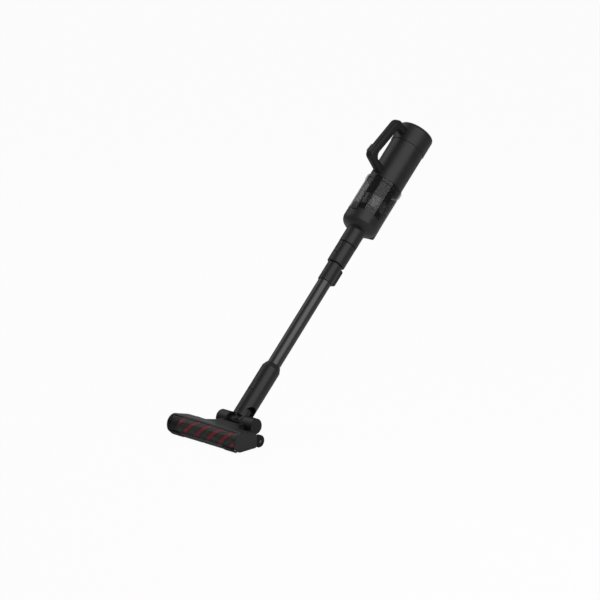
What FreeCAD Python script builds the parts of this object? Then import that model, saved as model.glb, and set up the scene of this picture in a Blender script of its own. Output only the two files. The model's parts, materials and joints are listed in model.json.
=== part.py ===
import FreeCAD, Part
import os
import re
import Sketcher
from math import atan2, cos, pi, sin, tan

# A cordless stick vacuum leaning back on its floor head, in millimetres, +Z up.
# The origin is on the floor under the middle of the head's glide strip, +X is the
# user's right hand and +Y points back towards the user.
#
# The stick (neck sleeve, wand, dust cup and hand unit) is modelled upright in a frame
# of its own: its height runs along the stick from the pitch pivot, -Y is the handle
# side.  stick() then leans each finished piece back and stands it on the pivot.

# ---------------------------------------------------------------- driving sizes
SIZES = {
    # stance
    "lean": 45.5,
    "pivot_back": 77.0,
    "pivot_height": 36.0,
    # running and sliding clearances
    "running_fit": 0.05,
    "sliding_gap": 0.3,
    "part_gap": 0.5,
    # neck sleeve over the pitch pivot
    "sleeve_radius": 26.9,
    "sleeve_low": 12.0,
    "sleeve_shoulder": 172.0,
    "sleeve_high": 186.0,
    "sleeve_wall": 5.7,
    "arch_half": 19.0,
    "arch_high": 50.0,
    "sleeve_floor": 54.0,
    "plug_low": 108.0,
    "head_button_low": 92.0,
    "head_button_high": 116.0,
    "knuckle_radius": 17.0,
    "barrel_radius": 12.0,
    "barrel_half": 28.5,
    "swivel_height": 35.0,
    "swivel_pin_radius": 4.0,
    "axle_radius": 5.0,
    # telescopic wand
    "tube_radius": 19.0,
    "tube_wall": 1.1,
    "tube_high": 500.0,
    "inner_tube_radius": 17.2,
    "inner_tube_wall": 1.2,
    "inner_tube_low": 240.0,
    "inner_tube_high": 560.0,
    "collar_radius": 21.8,
    "collar_low": 465.0,
    "collar_high": 522.0,
    "latch_block_half": 12.0,
    "latch_block_reach": 29.0,
    "connector_radius": 26.3,
    "connector_low": 524.0,
    "connector_high": 588.0,
    "spigot_radius": 22.6,
    "spigot_wall": 2.6,
    "spigot_high": 622.0,
    "wand_button_low": 552.0,
    "wand_button_high": 577.0,
    # dust cup
    "nozzle_radius": 26.7,
    "nozzle_low": 590.0,
    "dome_low": 638.0,
    "dome_rise": 7.0,
    "dome_rounding": 25.0,
    "flap_hinge_back": 16.0,
    "flap_pin_radius": 0.9,
    "cup_low": 687.0,
    "cup_radius": 53.0,
    "cup_wall": 2.2,
    "cup_high": 796.0,
    "rim_radius": 54.8,
    "rim_depth": 11.0,
    "spine_half": 20.0,
    "spine_reach": 57.4,
    "shroud_radius": 37.0,
    "mesh_low": 712.0,
    "mesh_high": 746.0,
    "skirt_low": 694.0,
    "skirt_radius": 41.0,
    # hand unit
    "body_radius": 50.2,
    "body_wall": 2.5,
    "body_high": 924.0,
    "cap_radius": 51.8,
    "cap_wall": 3.0,
    "cap_high": 982.0,
    "cap_rounding": 10.0,
    "display_radius": 17.0,
    "motor_low": 822.0,
    "motor_radius": 29.0,
    "motor_length": 44.0,
    "cell_radius": 9.1,
    "cell_length": 62.0,
    "cell_low": 884.0,
    # handle loop, measured out from the stick's axis and along it
    "handle_width": 26.0,
    "handle_rounding": 9.0,
    "handle_top": 959.0,
    "handle_top_reach": 98.5,
    "handle_corner_height": 814.5,
    "handle_corner_reach": 122.5,
    "handle_foot": 800.0,
    "grip_gap_top": 936.0,
    "grip_gap_top_reach": 76.0,
    "grip_gap_low": 829.0,
    "grip_gap_low_reach": 95.0,
    "handle_split": 13.0,
    "button_half": 8.0,
    "button_length": 26.0,
    "button_travel": 2.0,
    # floor head
    "head_half": 131.0,
    "end_cap_thick": 5.0,
    "roller_back": -38.0,
    "roller_height": 30.0,
    "window_radius": 28.0,
    "window_wall": 2.0,
    "nap_radius": 24.5,
    "core_radius": 16.0,
    "core_collar": 28.0,
    "big_pulley_radius": 11.0,
    "small_pulley_radius": 6.0,
    "belt_thick": 1.4,
    "shell_wall": 2.0,
    "head_rear": 17.0,
    "head_rear_height": 43.5,
    "sole_low": 4.0,
    "bridge_half": 43.0,
    "drum_radius": 22.0,
    "drum_inner": 29.3,
    "drum_outer": 65.0,
    "pivot_cap_thick": 2.2,
    "hub_sweep": 32.0,
    "lip_half": 80.0,
    "foot_length": 41.0,
    "wheel_radius": 17.0,
    "wheel_back": 35.0,
    "wheel_inner": 112.0,
    "wheel_width": 11.5,
    "wheel_axle_radius": 2.5,
    "motor_back": 3.0,
    "motor_height": 24.0,
    "brush_motor_radius": 9.5,
    "glide_half": 100.0,
    "glide_width": 6.0,
}

document = FreeCAD.newDocument("stick_vacuum")
sheet = document.addObject("Spreadsheet::Sheet", "dims")
for row, (name, value) in enumerate(SIZES.items(), start=1):
    sheet.set("A%d" % row, name)
    sheet.set("B%d" % row, str(value))
    sheet.setAlias("B%d" % row, name)
document.recompute()

NODES = []


# ---------------------------------------------------------------- helpers
def formula(text):
    """Write each size's name in the text as a reference into the sheet."""
    def reference(word):
        return "dims." + word.group() if word.group() in SIZES else word.group()
    return re.sub(r"[a-z][a-z_]*", reference, str(text))


def number(text):
    return float(sheet.evalExpression(formula(text)))


def bind(item, **properties):
    """Bind properties to formulas; Base_x means Placement.Base.x."""
    for name, text in properties.items():
        path = name.replace("Base_", "Placement.Base.")
        item.setExpression(path, formula(text))


def plane_of(body, role):
    return [plane for plane in body.Origin.OriginFeatures if plane.Role == role][0]


def corner_points(corners):
    """Each corner's place, rounding radius, and where its rounding starts and ends."""
    places = [(number(c[0]), number(c[1]), number(c[2]) if len(c) > 2 else 0.0) for c in corners]
    rounded = []
    for i, (x, y, radius) in enumerate(places):
        before, after = places[i - 1], places[(i + 1) % len(places)]
        into = atan2(y - before[1], x - before[0])
        out = atan2(after[1] - y, after[0] - x)
        turn = (out - into + pi) % (2 * pi) - pi
        reach = radius * tan(abs(turn) / 2)
        start = FreeCAD.Vector(x - reach * cos(into), y - reach * sin(into), 0)
        end = FreeCAD.Vector(x + reach * cos(out), y + reach * sin(out), 0)
        rounded.append((x, y, radius, turn, start, end, into))
    return rounded


def outline(body, role, corners):
    """A closed sketch through the corners; a third entry rounds its corner."""
    sketch = body.newObject("Sketcher::SketchObject", body.Name + "_outline")
    sketch.AttachmentSupport = [(plane_of(body, role), "")]
    sketch.MapMode = "FlatFace"
    points = corner_points(corners)
    count = len(points)
    for i in range(count):
        sketch.addGeometry(Part.LineSegment(points[i][5], points[(i + 1) % count][4]), False)
    for i, (x, y, radius, turn, start, end, into) in enumerate(points):
        before = (i - 1) % count
        vertex = (i, 1)
        if radius:
            side = 1 if turn > 0 else -1
            centre = start + FreeCAD.Vector(-sin(into), cos(into), 0) * radius * side
            first, last = (start, end) if turn > 0 else (end, start)
            a = atan2(first.y - centre.y, first.x - centre.x)
            b = atan2(last.y - centre.y, last.x - centre.x)
            circle = Part.Circle(centre, FreeCAD.Vector(0, 0, 1), radius)
            arc = sketch.addGeometry(Part.ArcOfCircle(circle, a, b), False)
            tip = sketch.addGeometry(Part.Point(FreeCAD.Vector(x, y, 0)), True)
            ends = (1, 2) if turn > 0 else (2, 1)
            sketch.addConstraint(Sketcher.Constraint("Tangent", before, 2, arc, ends[0]))
            sketch.addConstraint(Sketcher.Constraint("Tangent", i, 1, arc, ends[1]))
            sketch.addConstraint(Sketcher.Constraint("PointOnObject", tip, 1, before))
            sketch.addConstraint(Sketcher.Constraint("PointOnObject", tip, 1, i))
            rounding = sketch.addConstraint(Sketcher.Constraint("Radius", arc, radius))
            sketch.setExpression("Constraints[%d]" % rounding, formula(corners[i][2]))
            vertex = (tip, 1)
        else:
            sketch.addConstraint(Sketcher.Constraint("Coincident", before, 2, i, 1))
        for kind, place, text in (("DistanceX", x, corners[i][0]), ("DistanceY", y, corners[i][1])):
            held = sketch.addConstraint(Sketcher.Constraint(kind, -1, 1, vertex[0], vertex[1], place))
            sketch.setExpression("Constraints[%d]" % held, formula(text))
    return sketch


def turned(label, corners):
    """A piece turned about the height axis from corners of (radius, height[, rounding])."""
    body = document.addObject("PartDesign::Body", label)
    body.Label = label
    sketch = outline(body, "XZ_Plane", corners)
    turn = body.newObject("PartDesign::Revolution", label + "_turned")
    turn.Profile = sketch
    turn.ReferenceAxis = (sketch, ["V_Axis"])
    turn.Angle = 360
    return body


def padded(label, role, corners, start, length):
    """A prism of the outline, from start along the plane's normal, length long."""
    body = document.addObject("PartDesign::Body", label)
    body.Label = label
    sketch = outline(body, role, corners)
    sketch.setExpression("AttachmentOffset.Base.z", formula(start))
    pad = body.newObject("PartDesign::Pad", label + "_pad")
    pad.Profile = sketch
    pad.setExpression("Length", formula(length))
    return body


def block(label, x, y, z, long, deep, high):
    item = document.addObject("Part::Box", label)
    bind(item, Base_x=x, Base_y=y, Base_z=z, Length=long, Width=deep, Height=high)
    return item


def rod(label, radius, start, length, x="0", y="0", z="0", along="Z"):
    """A cylinder along one axis; start is where it begins on that axis."""
    item = document.addObject("Part::Cylinder", label)
    turns = {"X": ((0, 1, 0), 90), "Y": ((1, 0, 0), -90), "Z": ((0, 0, 1), 0)}
    axis, angle = turns[along]
    item.Placement = FreeCAD.Placement(FreeCAD.Vector(), FreeCAD.Rotation(FreeCAD.Vector(*axis), angle))
    places = {"X": x, "Y": y, "Z": z}
    places[along] = start
    bind(item, Radius=radius, Height=length, Base_x=places["X"], Base_y=places["Y"], Base_z=places["Z"])
    return item


def joined(label, *items):
    result = document.addObject("Part::MultiFuse", label)
    result.Shapes = list(items)
    result.Refine = True
    return result


def grouped(label, *items):
    """Separate solids that share one node."""
    result = document.addObject("Part::Compound", label)
    result.Links = list(items)
    return result


def cut(label, base, *tools):
    result = document.addObject("Part::Cut", label)
    result.Base = base
    result.Tool = tools[0] if len(tools) == 1 else joined(label + "_tools", *tools)
    return result


def shared(label, first, second):
    result = document.addObject("Part::Common", label)
    result.Base = first
    result.Tool = second
    return result


def softened(label, base, radius, *keep):
    """Round the edges of the base for which every test in keep holds."""
    document.recompute()
    edges = [i + 1 for i, edge in enumerate(base.Shape.Edges) if all(test(edge) for test in keep)]
    result = document.addObject("Part::Fillet", label)
    result.Base = base
    result.Edges = [(i, number(radius), number(radius)) for i in edges]
    return result


def node(item, label):
    item.Label = label
    NODES.append(item)
    return item


def floor(item, label):
    """A finished piece of the floor head, already in its place."""
    return node(item, label)


def stick(item, label):
    """Lean a finished piece of the stick back and stand it on the pitch pivot."""
    item = grouped(label + "_leant", item)
    item.Placement = FreeCAD.Placement(FreeCAD.Vector(), FreeCAD.Rotation(FreeCAD.Vector(1, 0, 0), -1))
    bind(item, Base_y="pivot_back", Base_z="pivot_height")
    item.setExpression("Placement.Rotation.Angle", formula("-lean"))
    return node(item, label)


# ---------------------------------------------------------------- neck and pitch pivot
def lower_sleeve():
    shell = turned("sleeve_shell", [
        ("sleeve_radius - sleeve_wall", "sleeve_low"),
        ("sleeve_radius", "sleeve_low", "1"),
        ("sleeve_radius", "sleeve_shoulder", "5"),
        ("tube_radius + 2", "sleeve_high", "1"),
        ("tube_radius + sliding_gap", "sleeve_high"),
        ("tube_radius + sliding_gap", "plug_low"),
        ("tube_radius - 3", "plug_low"),
        ("tube_radius - 3", "sleeve_floor"),
        ("sleeve_radius - sleeve_wall", "sleeve_floor")])
    arch = padded("sleeve_arch", "YZ_Plane", [
        ("-arch_half", "0"),
        ("arch_half", "0"),
        ("arch_half", "arch_high", "arch_half - 0.2"),
        ("-arch_half", "arch_high", "arch_half - 0.2")], "-2 * sleeve_radius", "4 * sleeve_radius")
    pin_hole = rod("sleeve_pin_hole", "swivel_pin_radius", "1.4 - sleeve_radius",
                   "2 * sleeve_radius - 2.8", z="swivel_height", along="Y")
    pocket = block("sleeve_button_pocket", "-7.5", "-sleeve_radius - 5", "head_button_low - 1",
                   "15", "5 + 4", "head_button_high - head_button_low + 2")
    stick(cut("sleeve_body", shell, arch, pin_hole, pocket), "lower_sleeve")


def swivel_pins():
    pins = [rod("swivel_pin_" + side, "swivel_pin_radius", start, "sleeve_radius - 13.5",
                z="swivel_height", along="Y")
            for side, start in (("front", "-sleeve_radius + 1.5"), ("rear", "12"))]
    stick(grouped("swivel_pin_pair", *pins), "swivel_pins")


def neck_knuckle():
    neck = turned("knuckle_neck", [
        ("0", "0"),
        ("knuckle_radius", "0"),
        ("knuckle_radius", "swivel_height + 13", "12.5"),
        ("0", "swivel_height + 13")])
    barrel = rod("knuckle_barrel", "barrel_radius", "-barrel_half", "2 * barrel_half", along="X")
    pin_bore = rod("knuckle_pin_bore", "swivel_pin_radius + running_fit", "-2 * sleeve_radius",
                   "4 * sleeve_radius", z="swivel_height", along="Y")
    axle_bore = rod("knuckle_axle_bore", "axle_radius + running_fit", "-2 * barrel_half",
                    "4 * barrel_half", along="X")
    stick(cut("knuckle_body", joined("knuckle_solid", neck, barrel), pin_bore, axle_bore), "neck_knuckle")


def head_release_button():
    slab = block("head_button_slab", "-7", "-sleeve_radius - 0.8", "head_button_low", "14", "2.6",
                 "head_button_high - head_button_low")
    stick(slab, "head_release_button")


# ---------------------------------------------------------------- telescopic wand
def outer_tube():
    stick(turned("outer_tube_wall", [
        ("tube_radius - tube_wall", "plug_low + part_gap"),
        ("tube_radius", "plug_low + part_gap"),
        ("tube_radius", "tube_high"),
        ("tube_radius - tube_wall", "tube_high")]), "outer_tube")


def telescope_collar():
    ring = turned("collar_ring", [
        ("tube_radius", "collar_low"),
        ("collar_radius", "collar_low", "1"),
        ("collar_radius", "collar_high", "1.2"),
        ("inner_tube_radius + sliding_gap", "collar_high"),
        ("inner_tube_radius + sliding_gap", "tube_high"),
        ("tube_radius", "tube_high")])
    bulge = padded("collar_bulge", "YZ_Plane", [
        ("tube_radius + 1", "collar_low + 2"),
        ("latch_block_reach", "collar_low + 8", "6"),
        ("latch_block_reach", "collar_high - 3", "4"),
        ("tube_radius + 1", "collar_high - 1")], "-latch_block_half", "2 * latch_block_half")
    pocket = block("collar_pocket", "-7.3", "latch_block_reach - 3.5", "collar_low + 13",
                   "14.6", "5", "28")
    bore = rod("collar_bore", "tube_radius", "collar_low - 5", "collar_high - collar_low")
    stick(cut("collar_body", joined("collar_solid", ring, bulge), pocket, bore), "telescope_collar")


def telescope_latch():
    slab = padded("telescope_slab", "YZ_Plane", [
        ("latch_block_reach - 3.2", "collar_low + 13.5"),
        ("latch_block_reach + 1.5", "collar_low + 13.5", "1.4"),
        ("latch_block_reach + 0.6", "collar_low + 24", "8"),
        ("latch_block_reach + 1.5", "collar_low + 35", "1.4"),
        ("latch_block_reach - 3.2", "collar_low + 35")], "-7", "14")
    stick(slab, "telescope_latch")


def inner_tube():
    stick(turned("inner_tube_wall", [
        ("inner_tube_radius - inner_tube_wall", "inner_tube_low"),
        ("inner_tube_radius", "inner_tube_low"),
        ("inner_tube_radius", "inner_tube_high"),
        ("inner_tube_radius - inner_tube_wall", "inner_tube_high")]), "inner_tube")


def connector_sleeve():
    shell = turned("connector_shell", [
        ("inner_tube_radius", "connector_low"),
        ("connector_radius", "connector_low", "2.5"),
        ("connector_radius", "connector_high", "1"),
        ("spigot_radius", "connector_high"),
        ("spigot_radius", "spigot_high", "1"),
        ("spigot_radius - spigot_wall", "spigot_high"),
        ("spigot_radius - spigot_wall", "inner_tube_high"),
        ("inner_tube_radius", "inner_tube_high")])
    pocket = block("connector_pocket", "-6.5", "-connector_radius - 5", "wand_button_low - 1",
                   "13", "5 + 4", "wand_button_high - wand_button_low + 2")
    stick(cut("connector_body", shell, pocket), "connector_sleeve")


def wand_release_button():
    slab = block("wand_button_slab", "-6", "-connector_radius - 0.9", "wand_button_low",
                 "12", "2.7", "wand_button_high - wand_button_low")
    stick(slab, "wand_release_button")


# ---------------------------------------------------------------- dust cup
def cup_lid():
    shell = turned("lid_shell", [
        ("spigot_radius + sliding_gap", "nozzle_low"),
        ("nozzle_radius", "nozzle_low", "1"),
        ("nozzle_radius", "dome_low", "4"),
        ("cup_radius - 0.4", "dome_low + dome_rise", "dome_rounding"),
        ("cup_radius - 0.4", "cup_low"),
        ("cup_radius - cup_wall - 0.4", "cup_low"),
        ("cup_radius - cup_wall - 0.4", "dome_low + dome_rise + 3", "dome_rounding - 3"),
        ("spigot_radius + sliding_gap", "dome_low + 3")])
    barrel = rod("lid_hinge_barrel", "3.4", "-8", "16", y="spine_reach", z="cup_low", along="X")
    lug = block("lid_hinge_lug", "-8", "cup_radius - 1.5", "cup_low - 10", "16",
                "spine_reach + 4.4 - cup_radius", "10")
    pin_bore = rod("lid_pin_bore", "1.5 + running_fit", "-10", "20", y="spine_reach", z="cup_low",
                   along="X")
    clear = rod("lid_inside", "cup_radius - cup_wall - 0.4", "cup_low - 20", "40")
    rib = padded("lid_rib", "YZ_Plane", [
        ("cup_radius - 12", "dome_low + 18"),
        ("cup_radius - 2", "dome_low + 8", "6"),
        ("spine_reach", "dome_low + 16", "6"),
        ("spine_reach", "cup_low - 4", "1"),
        ("cup_radius - 12", "cup_low - 4")], "-18", "36")
    inside = rod("lid_rib_inside", "cup_radius - 1.4", "dome_low", "cup_low - dome_low")
    tongue = cut("lid_tongue", joined("lid_tongue_solid", barrel, lug), clear)
    flap_bore = rod("flap_pin_bore", "flap_pin_radius + running_fit", "-18", "36", y="flap_hinge_back",
                    z="dome_low - 2.6", along="X")
    solid = joined("lid_solid", shell, tongue, cut("lid_rib_trimmed", rib, inside))
    stick(cut("lid_body", solid, pin_bore, flap_bore), "cup_lid")


def lid_seal():
    stick(turned("lid_seal_ring", [
        ("cup_radius - cup_wall - 3.4", "cup_low - 5"),
        ("cup_radius - cup_wall - 0.4", "cup_low - 5"),
        ("cup_radius - cup_wall - 0.4", "cup_low - 0.2", "1"),
        ("cup_radius - cup_wall - 3.4", "cup_low - 0.2", "1")]), "lid_seal")


def inlet_flap():
    disc = turned("flap_disc", [
        ("0", "dome_low - 4"),
        ("spigot_radius - 0.2", "dome_low - 4"),
        ("spigot_radius - 0.2", "dome_low - 2.6"),
        ("0", "dome_low - 2.6")])
    sides = [block("flap_relief_" + side, start, "4", "dome_low - 6", "20", "40", "6")
             for side, start in (("left", "-35.5"), ("right", "15.5"))]
    back = block("flap_relief_back", "-30", "flap_hinge_back + 1", "dome_low - 6", "60", "20", "6")
    pin = rod("flap_pin", "flap_pin_radius", "-17.5", "35", y="flap_hinge_back", z="dome_low - 2.6",
              along="X")
    stick(joined("flap_solid", cut("flap_leaf", disc, *sides, back), pin), "inlet_flap")


def dust_cup():
    shell = turned("cup_shell", [
        ("cup_radius - cup_wall", "cup_low"),
        ("cup_radius", "cup_low"),
        ("cup_radius", "cup_high - rim_depth - 2"),
        ("rim_radius", "cup_high - rim_depth"),
        ("rim_radius", "cup_high", "1"),
        ("cup_radius - cup_wall", "cup_high")])
    relief = rod("cup_hinge_relief", "3.8", "-8.4", "16.8", y="spine_reach", z="cup_low", along="X")
    stick(cut("cup_body", shell, relief), "dust_cup")


def cup_spine():
    strip = padded("spine_strip", "XY_Plane", [
        ("-spine_half", "cup_radius - 10"),
        ("spine_half", "cup_radius - 10"),
        ("spine_half", "spine_reach", "6"),
        ("-spine_half", "spine_reach", "6")], "cup_low + 6", "cup_high - rim_depth - cup_low - 8")
    lugs = []
    for side, start in (("left", "-14.5"), ("right", "8.5")):
        lugs.append(block("spine_lug_" + side, start, "cup_radius - 3", "cup_low", "6",
                          "spine_reach + 6.2 - cup_radius", "7"))
        lugs.append(rod("spine_lug_eye_" + side, "3.2", start, "6", y="spine_reach", z="cup_low",
                        along="X"))
    inside = rod("spine_inside", "cup_radius", "cup_low - 10", "200")
    pin_bore = rod("spine_pin_bore", "1.5", "-20", "40", y="spine_reach", z="cup_low", along="X")
    stick(cut("spine_body", joined("spine_solid", strip, *lugs), inside, pin_bore), "cup_spine")


def lid_hinge_pin():
    stick(rod("hinge_pin_rod", "1.5", "-14.5", "29", y="spine_reach", z="cup_low", along="X"),
          "lid_hinge_pin")


def lid_catch():
    hook = padded("catch_hook", "YZ_Plane", [
        ("-cup_radius - 0.4", "cup_low - 9"),
        ("-cup_radius - 0.4", "cup_low + 13"),
        ("-cup_radius - 3", "cup_low + 13", "2"),
        ("-cup_radius - 4.4", "cup_low", "8"),
        ("-cup_radius - 3", "cup_low - 9", "2")], "-9", "18")
    stick(hook, "lid_catch")


def cyclone_parts():
    stick(turned("cyclone_collar_ring", [
        ("30", "cup_high - 8"),
        ("cup_radius - cup_wall", "cup_high - 8"),
        ("cup_radius - cup_wall", "cup_high"),
        ("30", "cup_high")]), "cyclone_collar")
    stick(turned("upper_shroud_tube", [
        ("shroud_radius - 2.5", "mesh_high"),
        ("shroud_radius + 1.2", "mesh_high", "0.8"),
        ("shroud_radius + 1.2", "mesh_high + 8", "0.8"),
        ("shroud_radius", "mesh_high + 9"),
        ("shroud_radius", "cup_high - 8"),
        ("shroud_radius - 2.5", "cup_high - 8")]), "upper_shroud")
    stick(turned("mesh_tube", [
        ("shroud_radius - 1.8", "mesh_low"),
        ("shroud_radius - 0.8", "mesh_low"),
        ("shroud_radius - 0.8", "mesh_high"),
        ("shroud_radius - 1.8", "mesh_high")]), "mesh_shroud")
    cone = turned("cone_wall", [
        ("16.5", "skirt_low - 2"),
        ("skirt_radius", "skirt_low - 2", "1"),
        ("skirt_radius", "skirt_low + 1", "1"),
        ("shroud_radius - 1", "mesh_low - 8", "3"),
        ("shroud_radius + 0.8", "mesh_low - 3", "0.8"),
        ("shroud_radius + 0.8", "mesh_low", "0.6"),
        ("shroud_radius - 4", "mesh_low"),
        ("shroud_radius - 5", "mesh_low - 7"),
        ("16.5", "skirt_low + 1")])
    duct = turned("inlet_duct_wall", [
        ("14", "cup_low + 2"),
        ("16.5", "cup_low + 2"),
        ("16.5", "mesh_high"),
        ("14", "mesh_high")])
    stick(joined("cone_and_duct", cone, duct), "cyclone_cone")
    stick(turned("pre_filter_disc", [
        ("0", "cup_high"),
        ("40", "cup_high"),
        ("40", "cup_high + 14", "2"),
        ("0", "cup_high + 14")]), "pre_filter")
    stick(turned("cup_seal_ring", [
        ("42", "cup_high"),
        ("45.5", "cup_high"),
        ("45.5", "cup_high + 3", "1"),
        ("42", "cup_high + 3", "1")]), "cup_seal")


# ---------------------------------------------------------------- hand unit
def main_housing():
    shell = turned("housing_shell", [
        ("body_radius - body_wall", "cup_high"),
        ("body_radius", "cup_high", "0.8"),
        ("body_radius", "body_high", "0.8"),
        ("body_radius - body_wall", "body_high")])
    latch_slot = block("latch_slot", "-6.3", "30", "cup_high + 10", "12.6", "40", "22")
    socket_hole = rod("socket_hole", "5.5", "30", "40", z="cup_high + 66", along="Y")
    slots = []
    for i in range(-8, 9):
        if abs(i) < 3:
            continue
        slot = block("vent_slot_%d" % (i + 8), "-1.1", "30", "body_high - 38", "2.2", "40", "26")
        swing = grouped("vent_swing_%d" % (i + 8), slot)
        swing.Placement = FreeCAD.Placement(
            FreeCAD.Vector(), FreeCAD.Rotation(FreeCAD.Vector(0, 0, 1), 8.0 * i))
        slots.append(swing)
    stick(cut("housing_body", shell, latch_slot, socket_hole, *slots), "main_housing")


def top_cap():
    shell = turned("cap_shell", [
        ("cap_radius - cap_wall", "body_high"),
        ("cap_radius", "body_high", "0.8"),
        ("cap_radius", "cap_high", "cap_rounding"),
        ("display_radius + 0.2", "cap_high"),
        ("display_radius + 0.2", "cap_high - cap_wall"),
        ("cap_radius - cap_wall", "cap_high - cap_wall", "cap_rounding - cap_wall")])
    holes = [rod("cap_hole_" + name, "5.3", "cap_high - 10", "20", x=x, y="-18")
             for name, x in (("power", "-20"), ("mode", "20"))]
    stick(cut("cap_body", shell, *holes), "top_cap")


def cap_pieces():
    stick(turned("display_disc", [
        ("0", "cap_high - 4"),
        ("display_radius", "cap_high - 4"),
        ("display_radius", "cap_high - 0.3", "0.5"),
        ("0", "cap_high - 0.3")]), "display_lens")
    control = turned("display_board_disc", [
        ("0", "cap_high - 13"),
        ("30", "cap_high - 13"),
        ("30", "cap_high - 11.4"),
        ("0", "cap_high - 11.4")])
    main = turned("main_board_disc", [
        ("0", "motor_low + motor_length + 3"),
        ("38", "motor_low + motor_length + 3"),
        ("38", "motor_low + motor_length + 4.6"),
        ("0", "motor_low + motor_length + 4.6")])
    stick(grouped("board_pair", control, main), "circuit_boards")
    for name, x in (("power", "-20"), ("mode", "20")):
        stick(rod(name + "_button_disc", "5", "cap_high - 7", "8.4", x=x, y="-18"), name + "_button")


def cup_latch():
    slab = padded("latch_slab", "XY_Plane", [
        ("-11", "body_radius - 10"),
        ("11", "body_radius - 10"),
        ("11", "body_radius + 5", "2.5"),
        ("-11", "body_radius + 5", "2.5")], "cup_high + 4", "26")
    clear = rod("latch_clear", "body_radius + sliding_gap", "cup_high", "60")
    plate = cut("latch_plate", slab, clear)
    stem = block("latch_stem", "-6", "body_radius - body_wall + 0.2", "cup_high + 10.5", "12",
                 "body_wall + 3", "16")
    stick(joined("latch_solid", plate, stem), "cup_latch")


def charging_socket():
    shell = rod("socket_shell", "5.5", "body_radius - 12", "12.2", z="cup_high + 66", along="Y")
    bore = rod("socket_bore", "2.8", "body_radius - 10", "20", z="cup_high + 66", along="Y")
    stick(cut("socket_body", shell, bore), "charging_socket")


def suction_motor():
    low = "motor_low"
    stick(turned("motor_can_wall", [
        ("motor_radius - 2", "motor_low"),
        ("body_radius - body_wall", "motor_low"),
        ("body_radius - body_wall", "motor_low + 6"),
        ("motor_radius", "motor_low + 6"),
        ("motor_radius", "motor_low + motor_length", "2"),
        ("3", "motor_low + motor_length"),
        ("3", "motor_low + motor_length - 3"),
        ("14", "motor_low + motor_length - 3"),
        ("14", "motor_low + 20"),
        ("motor_radius - 2", "motor_low + 20")]), "motor_can")
    stick(turned("shaft_rod", [
        ("0", "motor_low + 2"),
        ("2.5", "motor_low + 2"),
        ("2.5", "motor_low + 20"),
        ("12.5", "motor_low + 20"),
        ("12.5", "motor_low + 39"),
        ("2.5", "motor_low + 39"),
        ("2.5", "motor_low + motor_length - 1"),
        ("0", "motor_low + motor_length - 1")]), "motor_rotor")
    hub = turned("impeller_hub", [
        ("2.5", low + " + 4"),
        ("7", low + " + 4", "2"),
        ("10", low + " + 12", "4"),
        ("24", low + " + 14"),
        ("24", low + " + 16"),
        ("2.5", low + " + 16")])
    blades = []
    for i in range(9):
        blade = block("impeller_blade_%d" % i, "6", "-0.6", low + " + 7", "17", "1.2", "8")
        swing = grouped("impeller_swing_%d" % i, blade)
        swing.Placement = FreeCAD.Placement(
            FreeCAD.Vector(), FreeCAD.Rotation(FreeCAD.Vector(0, 0, 1), 40.0 * i))
        blades.append(swing)
    stick(joined("impeller_solid", hub, *blades), "impeller")


def battery():
    columns = ("-2.03 * cell_radius", "0", "2.03 * cell_radius")
    cells = [rod("cell_%d_%d" % (i, j), "cell_radius", "cell_low", "cell_length", x=x, y=y)
             for i, x in enumerate(columns)
             for j, y in enumerate(("-1.02 * cell_radius", "1.02 * cell_radius"))]
    stick(grouped("cell_group", *cells), "battery_cells")
    outer = padded("battery_tray", "XY_Plane", [
        ("-3.03 * cell_radius - 2", "-2.02 * cell_radius - 2", "8"),
        ("3.03 * cell_radius + 2", "-2.02 * cell_radius - 2", "8"),
        ("3.03 * cell_radius + 2", "2.02 * cell_radius + 2", "8"),
        ("-3.03 * cell_radius - 2", "2.02 * cell_radius + 2", "8")], "cell_low - 3", "30")
    inner = padded("battery_room", "XY_Plane", [
        ("-3.03 * cell_radius - 0.2", "-2.02 * cell_radius - 0.2", "7"),
        ("3.03 * cell_radius + 0.2", "-2.02 * cell_radius - 0.2", "7"),
        ("3.03 * cell_radius + 0.2", "2.02 * cell_radius + 0.2", "7"),
        ("-3.03 * cell_radius - 0.2", "2.02 * cell_radius + 0.2", "7")], "cell_low", "60")
    stick(cut("battery_case_wall", outer, inner), "battery_case")
    stick(turned("filter_ring", [
        ("40", "body_high - 42"),
        ("body_radius - body_wall", "body_high - 42"),
        ("body_radius - body_wall", "body_high - 10"),
        ("40", "body_high - 10")]), "exhaust_filter")


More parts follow.
